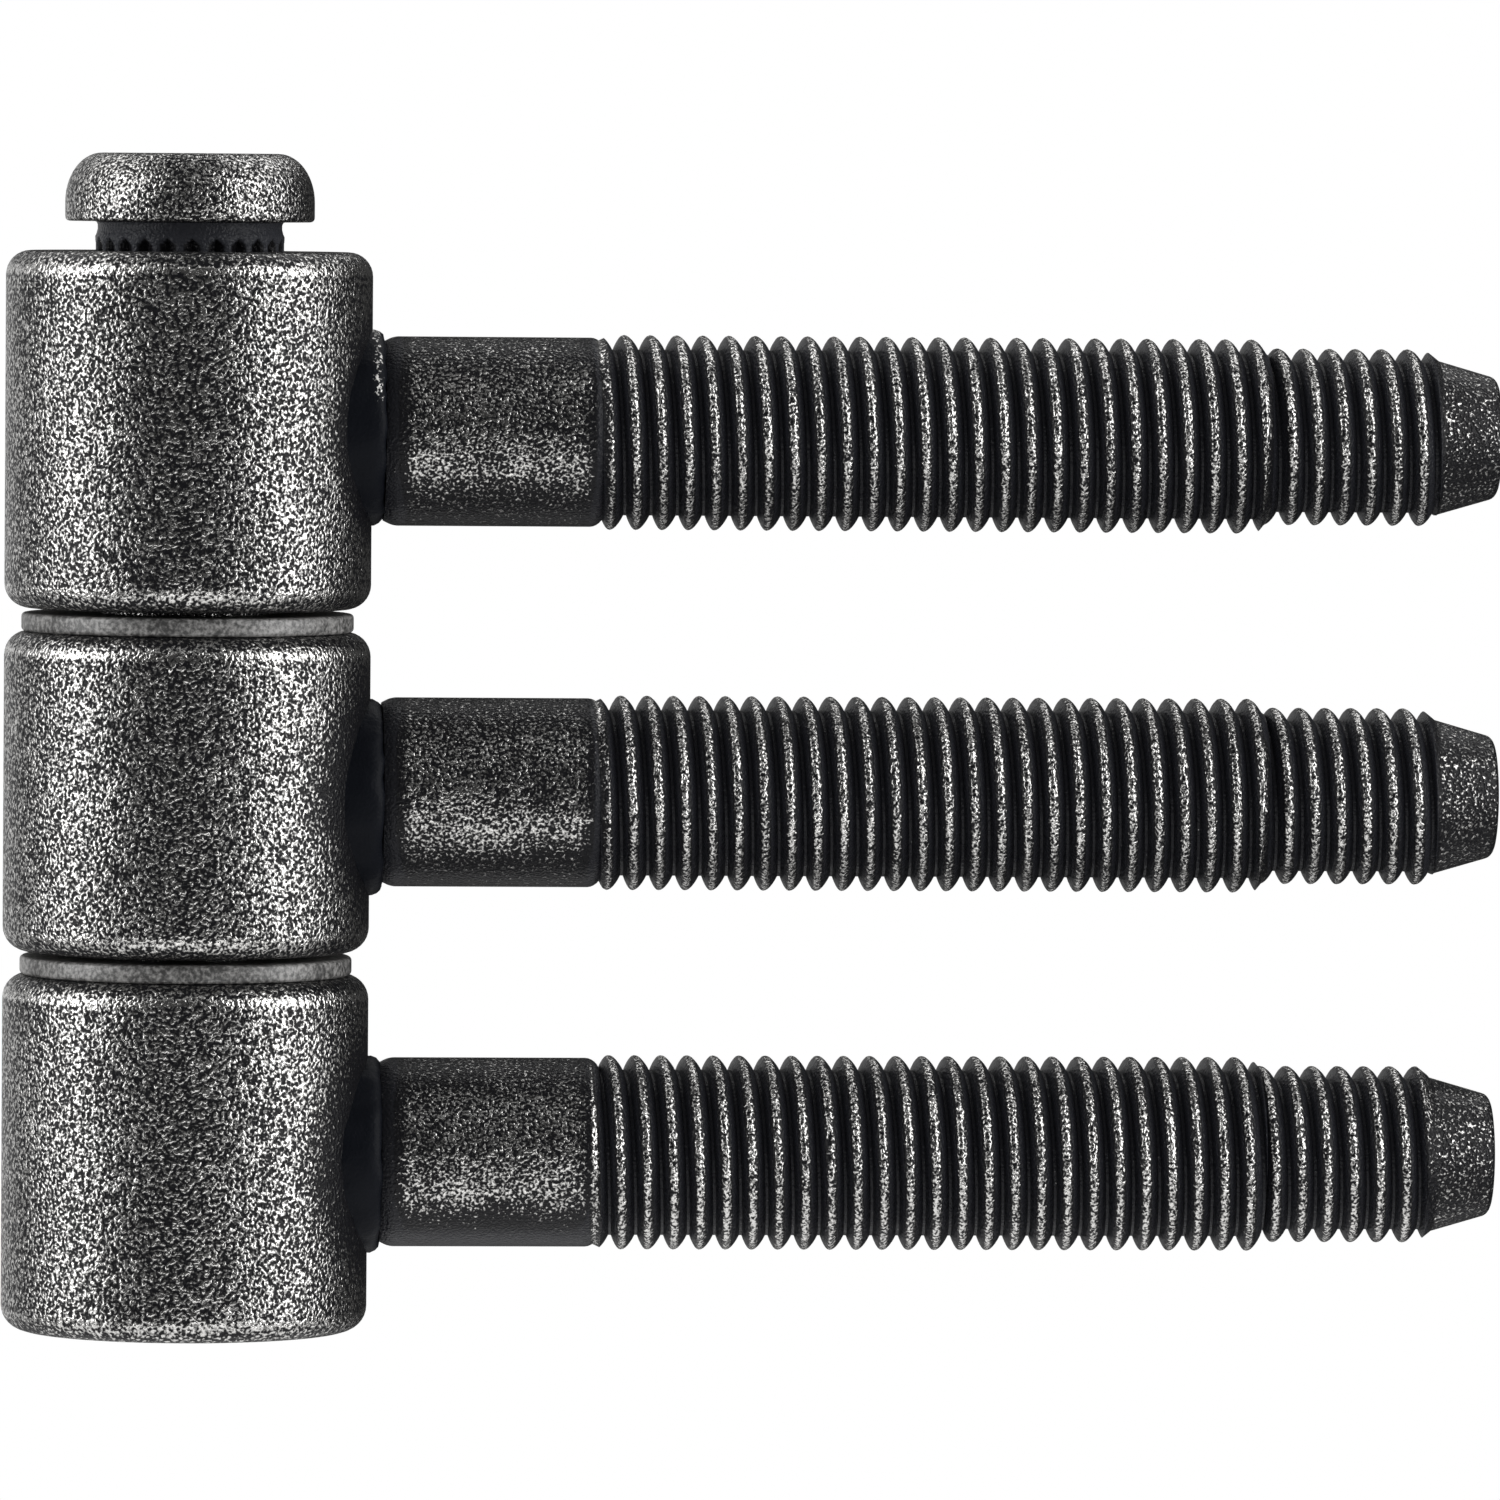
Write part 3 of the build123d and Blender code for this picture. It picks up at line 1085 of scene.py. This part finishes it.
class HINGE_OT_stage(bpy.types.Operator):
    """Sets up the floor, the lamps, the room's light and the camera"""

    bl_idname = "hinge.stage"
    bl_label = "Stage"

    # Each lamp's azimuth from the camera's side to the right and its elevation, in degrees,
    # its distance and size, in metres, and its radiance
    LAMPS = {
        "left_softbox": (-78, 16, 0.40, (0.29, 0.56), 2.8),
        "right_softbox": (67, 14, 0.42, (0.29, 0.56), 3.1),
        "low_softbox": (4, -30, 0.45, (0.5, 0.14), 1.5),
        "high_softbox": (10, 62, 0.45, (0.5, 0.16), 0.4),
        "left_back_softbox": (-143, 50, 0.42, (0.26, 0.2), 2.0),
        "right_back_softbox": (143, 50, 0.42, (0.26, 0.2), 2.0),
    }
    FLOOR_REACH = 0.15
    FLOOR_THICKNESS = 0.006
    # Where the floor fades out, as shares of the way from the hinge to its edge
    FLOOR_FADE = (0.7, 0.98)
    # The way to the white side of the room, how far along it the reflected white starts and
    # is whole, and its dim and bright strength
    ROOM_SIDE = (-0.5, 0.87)
    ROOM_EDGE = (0.84, 0.99)
    ROOM_STRENGTH = (0.035, 0.7)

    def execute(self, context):
        stage = context.scene.hinge_stage
        self.lay_floor(stage)
        self.light_room(context, stage)
        for name, settings in self.LAMPS.items():
            self.hang_lamp(name, *settings)
        self.place_camera(context, stage)
        context.scene.view_settings.view_transform = "Standard"
        return {"FINISHED"}

    def lay_floor(self, stage):
        """A pale round slab below the hinge, which fades away towards its edge."""
        top, reach = -stage.floor_drop, self.FLOOR_REACH
        base = top - self.FLOOR_THICKNESS
        outline = [(0, top), (reach, top), (reach, base), (0, base)]
        floor = turn("floor", Z_AXIS, outline, STUD_STEPS)
        round_ring(floor, Z_AXIS, reach, top, self.FLOOR_THICKNESS / 2, segments=4)
        take(floor)
        bpy.ops.object.shade_smooth_by_angle(angle=radians(35))
        material, tree, shader, place = new_material("floor_pale")
        shader.inputs["Base Color"].default_value = (*stage.floor, 1)
        shader.inputs["Roughness"].default_value = 0.9
        away = tree.nodes.new("ShaderNodeVectorMath")
        away.operation = "LENGTH"
        tree.links.new(place, away.inputs[0])
        low, high = (share * hypot(top, reach) for share in self.FLOOR_FADE)
        cover = between(tree, away.outputs["Value"], low, high, start=1, end=0)
        tree.links.new(cover, shader.inputs["Alpha"])
        floor.data.materials.append(material)

    def light_room(self, context, stage):
        """A white room to the eye. In reflections it is white behind the hinge and fades to
        the dim side that the camera stands on, and its even light is soft."""
        world = bpy.data.worlds.new("room")
        context.scene.world = world
        world.use_nodes = True
        tree = world.node_tree
        tree.nodes.clear()
        output = tree.nodes.new("ShaderNodeOutputWorld")
        light = tree.nodes.new("ShaderNodeBackground")
        tree.links.new(light.outputs["Background"], output.inputs["Surface"])
        light.inputs["Color"].default_value = (1, 1, 1, 1)
        ray = tree.nodes.new("ShaderNodeLightPath")
        place = tree.nodes.new("ShaderNodeTexCoord")
        parts = tree.nodes.new("ShaderNodeSeparateXYZ")
        tree.links.new(place.outputs["Generated"], parts.inputs["Vector"])
        across, back = self.ROOM_SIDE
        leaning = added(
            tree,
            scaled(tree, parts.outputs["X"], across),
            scaled(tree, parts.outputs["Y"], back),
        )
        behind = between(tree, leaning, *self.ROOM_EDGE, *self.ROOM_STRENGTH)
        seen = maths(
            tree,
            "MAXIMUM",
            ray.outputs["Is Camera Ray"],
            ray.outputs["Is Transmission Ray"],
        )
        mirrored = scaled(tree, ray.outputs["Is Glossy Ray"], behind)
        rest = scaled(tree, ray.outputs["Is Diffuse Ray"], stage.ambient)
        strength = added(tree, seen, added(tree, mirrored, rest))
        tree.links.new(strength, light.inputs["Strength"])

    def hang_lamp(self, name, azimuth, elevation, distance, size, radiance):
        """A softbox turned to the barrels, as bright as its radiance says."""
        turn_to, rise = radians(azimuth), radians(elevation)
        aim = Vector((0.01, 0, STACK_TOP / 2))
        away = Vector((sin(turn_to) * cos(rise), -cos(turn_to) * cos(rise), sin(rise)))
        bpy.ops.object.light_add(type="AREA", location=aim + distance * away)
        lamp = bpy.context.object
        lamp.name = lamp.data.name = name
        lamp.rotation_euler = away.to_track_quat("Z", "Y").to_euler()
        lamp.data.shape = "RECTANGLE"
        lamp.data.size, lamp.data.size_y = size
        lamp.data.energy = radiance * pi * size[0] * size[1]

    def place_camera(self, context, stage):
        """The camera, as the photograph was taken."""
        bpy.ops.object.camera_add(location=stage.camera)
        camera = bpy.context.object
        camera.name = camera.data.name = "camera"
        camera.data.lens = stage.lens
        camera.data.clip_start, camera.data.clip_end = 0.01, 10
        look = (
            Matrix.Rotation(-stage.pan, 3, "Z")
            @ Matrix.Rotation(pi / 2 - stage.tilt, 3, "X")
            @ Matrix.Rotation(stage.roll, 3, "Z")
        )
        camera.rotation_euler = look.to_euler()
        context.scene.camera = camera


OPERATORS = (
    HINGE_OT_barrels,
    HINGE_OT_washers,
    HINGE_OT_pin,
    HINGE_OT_studs,
    HINGE_OT_welds,
    HINGE_OT_stage,
)


class HINGE_PT_panel(bpy.types.Panel):
    """Lists the hinge's pieces and their sizes"""

    bl_idname = "HINGE_PT_panel"
    bl_label = "Barrel hinge"
    bl_space_type = "VIEW_3D"
    bl_region_type = "UI"
    bl_category = "Hinge"

    def draw(self, context):
        for operator in OPERATORS:
            self.layout.operator(operator.bl_idname)
        for name, group in SETTINGS.items():
            box = self.layout.box()
            box.label(text=group.__doc__)
            for field in group.__annotations__:
                box.prop(getattr(context.scene, name), field)


CLASSES = (*SETTINGS.values(), *OPERATORS, HINGE_PT_panel)


def register():
    """Registers the classes and puts their settings on the scene."""
    for part in CLASSES:
        bpy.utils.register_class(part)
    for name, group in SETTINGS.items():
        setattr(bpy.types.Scene, name, bpy.props.PointerProperty(type=group))


def unregister():
    """Takes the settings and the classes away again."""
    for name in SETTINGS:
        delattr(bpy.types.Scene, name)
    for part in reversed(CLASSES):
        bpy.utils.unregister_class(part)


def main():
    """Registers the settings and builds the pieces and the stage."""
    register()
    bpy.ops.hinge.barrels()
    bpy.ops.hinge.washers()
    bpy.ops.hinge.pin()
    bpy.ops.hinge.studs()
    bpy.ops.hinge.welds()
    bpy.ops.hinge.stage()
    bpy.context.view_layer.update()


if __name__ == "__main__":
    main()
